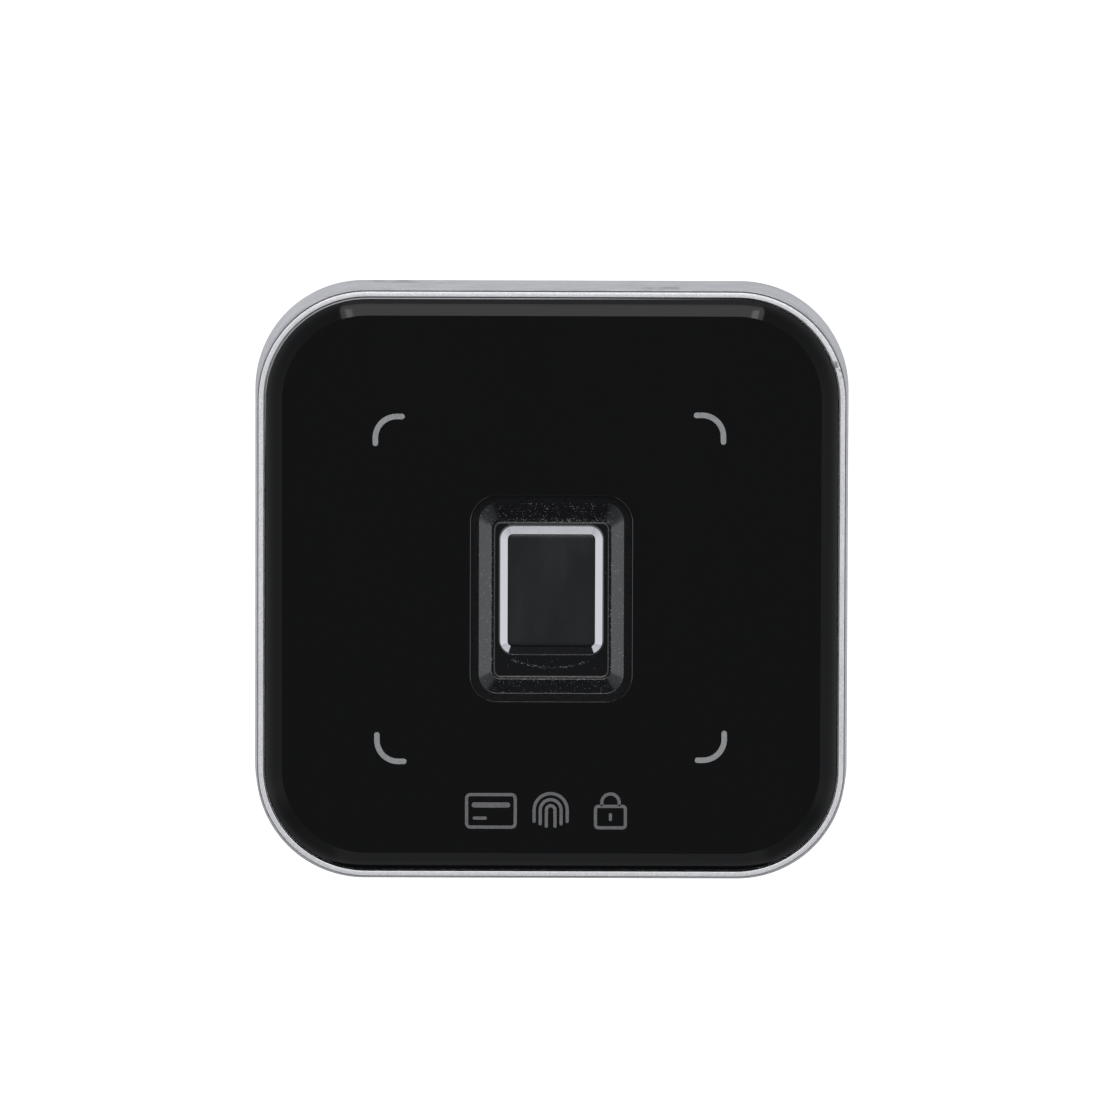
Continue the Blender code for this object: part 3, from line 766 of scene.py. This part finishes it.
def make_corner_marks(look):
    """Four printed corner brackets round the finger opening."""
    front = panel_front()
    made = []
    for name, side_x, side_z in (("upper_left", -1, 1), ("upper_right", 1, 1),
                                 ("lower_left", -1, -1), ("lower_right", 1, -1)):
        middle = MARK_STROKE / 2
        corner_x = MARK_HALF_X - middle - MARK_ARC
        corner_z = MARK_HALF_Z - middle - MARK_ARC
        path = [(MARK_HALF_X - middle, corner_z - MARK_REACH)]
        for step in range(MARK_ARC_STEPS + 1):
            angle = math.pi / 2 * step / MARK_ARC_STEPS
            x, z = MARK_ARC * math.cos(angle), MARK_ARC * math.sin(angle)
            path.append((corner_x + x, corner_z + z))
        path.append((corner_x - MARK_REACH, MARK_HALF_Z - middle))
        path = [(side_x * x + MARK_SHIFT, side_z * z + MARK_CENTRE) for x, z in path]
        mesh = bmesh.new()
        path = skewed(path, MARK_CENTRE)
        stroke(mesh, path, MARK_STROKE, front - PRINT_SINK, front + PRINT_THICKNESS)
        made.append(to_object("corner_mark_" + name, mesh, look))
    return made


def make_glyphs(look):
    """Three small pictograms: a card, a fingertip and a padlock."""
    front = panel_front()
    rear, top = front - PRINT_SINK, front + PRINT_THICKNESS

    def arc(cx, cz, radius, start, end, count=18):
        steps = [math.radians(start + (end - start) * step / count) for step in range(count + 1)]
        return [(cx + radius * math.cos(a), cz + radius * math.sin(a)) for a in steps]

    card = bmesh.new()
    edge = outline((3.5, 2.35, 0.55, 0.0), 6)
    edge = [(x - GLYPH_PITCH, z + GLYPH_CENTRE) for x, z in edge]
    loop_stroke(card, edge, GLYPH_LINE, rear, top)
    left = -GLYPH_PITCH - 2.4
    for run, height, width in ((2.7, 0.85, GLYPH_BOLD), (0.9, -1.05, GLYPH_LINE)):
        z = GLYPH_CENTRE + height
        stroke(card, [(left, z), (left + 1.78 * run, z)], width, rear, top)

    tip = bmesh.new()
    for ring in range(3):
        radius = 0.62 + 0.88 * ring
        foot = GLYPH_CENTRE - 2.2 + 0.35 * ring
        path = [(radius, foot)] + arc(0.0, GLYPH_CENTRE + 0.15, radius, 0, 180) + [(-radius, foot)]
        stroke(tip, path, GLYPH_LINE, rear, top)

    lock = bmesh.new()
    body = outline((2.15, 1.55, 0.4, GLYPH_CENTRE - 0.85), 5)
    loop_stroke(lock, [(x + GLYPH_PITCH, z) for x, z in body], GLYPH_LINE, rear, top)
    foot = GLYPH_CENTRE + 0.95
    shackle = [(GLYPH_PITCH + 1.25, foot)] + arc(GLYPH_PITCH, foot + 0.3, 1.25, 0, 180)
    stroke(lock, shackle + [(GLYPH_PITCH - 1.25, foot)], GLYPH_LINE, rear, top)
    keyhole = [(GLYPH_PITCH, GLYPH_CENTRE - 0.5), (GLYPH_PITCH, GLYPH_CENTRE - 1.2)]
    stroke(lock, keyhole, GLYPH_LINE, rear, top)
    return [to_object(name, mesh, look) for name, mesh in
            (("card_glyph", card), ("fingertip_glyph", tip), ("padlock_glyph", lock))]


def loop_stroke(mesh, around, width, rear, front):
    """A printed line round a closed outline."""
    count = len(around)
    rows = []
    for index in range(count):
        before = around[index - 1]
        after = around[(index + 1) % count]
        run = math.atan2(after[1] - before[1], after[0] - before[0])
        x, z = around[index]
        side_x = math.sin(run) * width / 2
        side_z = -math.cos(run) * width / 2
        corners_here = ((x + side_x, rear, z + side_z), (x + side_x, front, z + side_z),
                        (x - side_x, front, z - side_z), (x - side_x, rear, z - side_z))
        rows.append([mesh.verts.new(place(*corner)) for corner in corners_here])
    for index in range(count):
        first = rows[index]
        second = rows[(index + 1) % count]
        for side in range(4):
            other = (side + 1) % 4
            mesh.faces.new((first[side], first[other], second[other], second[side]))


def dress_reader(looks):
    """Replace the visible solids with finished pieces that ride on the reader."""
    finished = (
        (make_housing(looks["silver_paint"]), "rear_housing", "silver_paint"),
        (make_trim(looks["bright_trim"], looks["component_black"]), "front_bezel", "bright_trim"),
        (make_glass(looks["black_glass"], looks["ground_glass"]), "glass_panel", "black_glass"),
        (make_guide(looks["black_moulding"]), "finger_guide", "black_moulding"),
        (make_sensor_trim(looks["chrome"]), "sensor_ring", "chrome"),
        (make_sensor_face(looks["sensor_coating"]), "sensor_window", "sensor_coating"),
    )
    for piece, node, slot in finished:
        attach(piece, READER)
        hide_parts(node)
    for piece in make_corner_marks(looks["print"]) + make_glyphs(looks["dim_print"]):
        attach(piece, READER)


def dress_nodes(looks):
    """Give each carried-over solid the finish of its material slot."""
    for part in frame["record"]["subparts"]:
        node = frame["nodes"][part["node"]]
        node.data.materials.clear()
        node.data.materials.append(looks[part["material_slot"]])


# ---------------------------------------------------------------- stage


def make_floor():
    """Plain pale floor, far below the object, that the polished surfaces don't mirror."""
    mesh = bmesh.new()
    bmesh.ops.create_grid(mesh, x_segments=1, y_segments=1, size=FLOOR_SIZE)
    floor = to_object("floor", mesh, None)
    floor.location = (0.0, 0.0, FLOOR_HEIGHT)
    look = Surface("pale_floor", (0.9, 0.9, 0.9), 0.9)
    look.shader.inputs["Emission Color"].default_value = (1.0, 1.0, 1.0, 1.0)
    look.shader.inputs["Emission Strength"].default_value = 0.6
    tone = look.ranged(look.noise(900.0, 2.0), 0.3, 0.7)
    look.colour(look.blended(tone, (0.88, 0.88, 0.88), (0.92, 0.92, 0.92)))
    floor.data.materials.append(look.material)
    floor.visible_glossy = False
    floor.visible_diffuse = False
    floor.visible_shadow = False


def add_panel(name, azimuth, elevation, distance, width, height, radiance):
    """A soft rectangular light that faces the object, placed by its direction from it."""
    light = bpy.data.lights.new(name, "AREA")
    light.shape = "RECTANGLE"
    light.size = width
    light.size_y = height
    light.energy = radiance * math.pi * width * height
    lamp = bpy.data.objects.new(name, light)
    bpy.context.scene.collection.objects.link(lamp)
    across, up = math.radians(azimuth), math.radians(elevation)
    level = math.cos(up)
    direction = Vector((math.sin(across) * level, -math.cos(across) * level, math.sin(up)))
    lamp.location = direction * distance
    lamp.rotation_euler = direction.to_track_quat("Z", "Y").to_euler()
    return lamp


def make_world():
    """Studio surroundings by direction: dim in front, brighter round about and at the sides.

    The strips and gaps below are bounded by the parts of the direction: up, down, facing the
    front and across to either side.
    """
    world = bpy.data.worlds.new("studio")
    world.use_nodes = True
    bpy.context.scene.world = world
    tree = world.node_tree
    direction = tree.nodes.new("ShaderNodeTexCoord").outputs["Generated"]
    split = tree.nodes.new("ShaderNodeSeparateXYZ")
    tree.links.new(direction, split.inputs["Vector"])

    def maths(operation, first, second=0.0):
        node = tree.nodes.new("ShaderNodeMath")
        node.operation = operation
        for socket, value in zip(node.inputs, (first, second)):
            if isinstance(value, (int, float)):
                socket.default_value = value
            else:
                tree.links.new(value, socket)
        return node.outputs["Value"]

    def step(value, start, end, low=0.0, high=1.0):
        node = tree.nodes.new("ShaderNodeMapRange")
        node.interpolation_type = "SMOOTHSTEP"
        names = ("From Min", "From Max", "To Min", "To Max")
        for socket, number in zip(names, (start, end, low, high)):
            node.inputs[socket].default_value = number
        tree.links.new(value, node.inputs["Value"])
        return node.outputs["Result"]

    across = maths("ABSOLUTE", split.outputs["X"])
    up = split.outputs["Z"]
    down = maths("MULTIPLY", up, -1.0)
    facing = maths("MULTIPLY", split.outputs["Y"], -1.0)
    centred = step(across, 0.26, 0.36, 1.0, 0.0)
    around = maths("ADD", facing, step(down, 0.25, 0.45, 0.0, 0.09))
    lit = step(around, 0.85, 0.5, 0.0, RING_LIGHT)
    lit = maths("ADD", lit, step(facing, 0.5, 0.1, 0.0, RIM_LIGHT))
    low_strip = maths("MULTIPLY", step(up, 0.16, 0.06), step(down, 0.36, 0.26))
    low_strip = maths("MULTIPLY", low_strip, step(facing, 0.2, 0.28))
    sides = maths("MAXIMUM", step(facing, 0.16, 0.0), low_strip)
    lit = maths("ADD", lit, maths("MULTIPLY", sides, step(across, 0.8, 0.97, 0.0, SIDE_LIGHT)))
    gap_above = maths("MULTIPLY", step(up, 0.62, 0.72), step(facing, -0.2, 0.0))
    gap_above = maths("MULTIPLY", gap_above, step(facing, 0.66, 0.6))
    gap_above = maths("SUBTRACT", 1.0, maths("MULTIPLY", gap_above, step(across, 0.75, 0.65)))
    lit = maths("MULTIPLY", lit, gap_above)
    lit = maths("MULTIPLY", lit, step(facing, -0.35, 0.05, REAR_SHARE, 1.0))
    dim = maths("MULTIPLY", step(facing, -0.6, -0.8), step(up, 0.1, -0.02))
    lit = maths("MULTIPLY", lit, maths("SUBTRACT", 1.0, maths("MULTIPLY", dim, 0.6)))
    bounce = maths("MULTIPLY", step(down, 0.6, 0.66), step(across, 0.18, 0.28, BOUNCE_LIGHT, 0.0))
    table = maths("MULTIPLY", step(down, 0.765, 0.79), centred)
    total = maths("ADD", maths("ADD", lit, bounce), FRONT_LIGHT)
    table = maths("MULTIPLY", table, step(down, 0.83, 0.85, 0.98, 0.76))
    total = maths("MULTIPLY", total, maths("SUBTRACT", 1.0, table))
    background = tree.nodes["Background"]
    tree.links.new(total, background.inputs["Strength"])
    background.inputs["Color"].default_value = (0.945, 0.965, 1.0, 1.0)


def make_camera():
    """A long lens, a little above the object and square on."""
    _, _, ring_front, _, _ = box_mm("front_bezel")
    up = Vector((0.0, math.sin(VIEW_ELEVATION), math.cos(VIEW_ELEVATION)))
    away = Vector((0.0, -math.cos(VIEW_ELEVATION), math.sin(VIEW_ELEVATION)))
    aim = place(0.0, ring_front, 0.0) + up * AIM_UP * MM + Vector((AIM_RIGHT * MM, 0.0, 0.0))
    data = bpy.data.cameras.new("camera")
    data.lens = LENS
    data.sensor_width = SENSOR_WIDTH
    data.clip_start, data.clip_end = CLIP_START, CLIP_END
    camera = bpy.data.objects.new("camera", data)
    bpy.context.scene.collection.objects.link(camera)
    camera.location = aim + away * VIEW_DISTANCE
    turn = away.to_track_quat("Z", "Y").to_matrix().to_4x4()
    camera.rotation_euler = turn.to_euler()
    camera.rotation_euler.rotate_axis("Z", VIEW_ROLL)
    bpy.context.scene.camera = camera


def make_lights():
    """Soft panels: a strip overhead with a brighter core and ends, one behind, and a key."""
    for panel in PANELS:
        add_panel(*panel)


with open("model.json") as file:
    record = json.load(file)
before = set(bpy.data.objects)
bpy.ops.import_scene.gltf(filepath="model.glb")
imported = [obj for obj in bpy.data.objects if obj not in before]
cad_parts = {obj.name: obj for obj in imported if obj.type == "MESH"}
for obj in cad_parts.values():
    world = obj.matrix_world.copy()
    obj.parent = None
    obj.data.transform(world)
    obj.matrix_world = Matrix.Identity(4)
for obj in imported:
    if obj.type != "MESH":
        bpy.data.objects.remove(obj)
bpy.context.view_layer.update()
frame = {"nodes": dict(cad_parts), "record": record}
bpy.context.scene.view_settings.view_transform = "Standard"
make_camera()
make_world()
make_lights()
make_floor()
all_looks = make_looks()
dress_nodes(all_looks)
dress_reader(all_looks)
